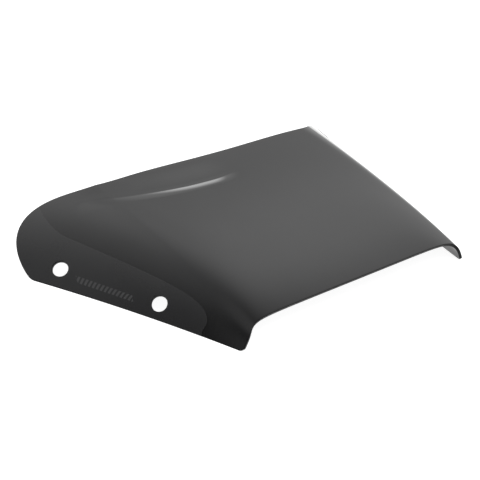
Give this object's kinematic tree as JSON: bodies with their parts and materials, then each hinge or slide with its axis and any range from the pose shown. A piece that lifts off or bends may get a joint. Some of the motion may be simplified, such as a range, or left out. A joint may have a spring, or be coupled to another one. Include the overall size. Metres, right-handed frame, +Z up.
{
  "type": "windshield screen",
  "caption": "Low smoked windshield screen for a motorcycle fairing: a formed hood with flared cheeks, a turned-down flange, mounting holes and satin side masks.",
  "frame": {"origin": "centre of the bounding box at the base, where the lower edges of the cheeks rest", "axes": "+X towards the right cheek, as seen from the concave front edge looking along +Y; +Y towards the flanged end; +Z up; the concave front edge faces -Y"},
  "size_m": [0.474, 0.2278, 0.0685],
  "materials": {
    "smoked_sheet": "polished dark smoked acrylic",
    "satin_mask": "satin"
  },
  "bodies": {
    "root": {"screen": "smoked_sheet", "side_mask_right": "satin_mask", "side_mask_left": "satin_mask"}
  },
  "joints": []
}
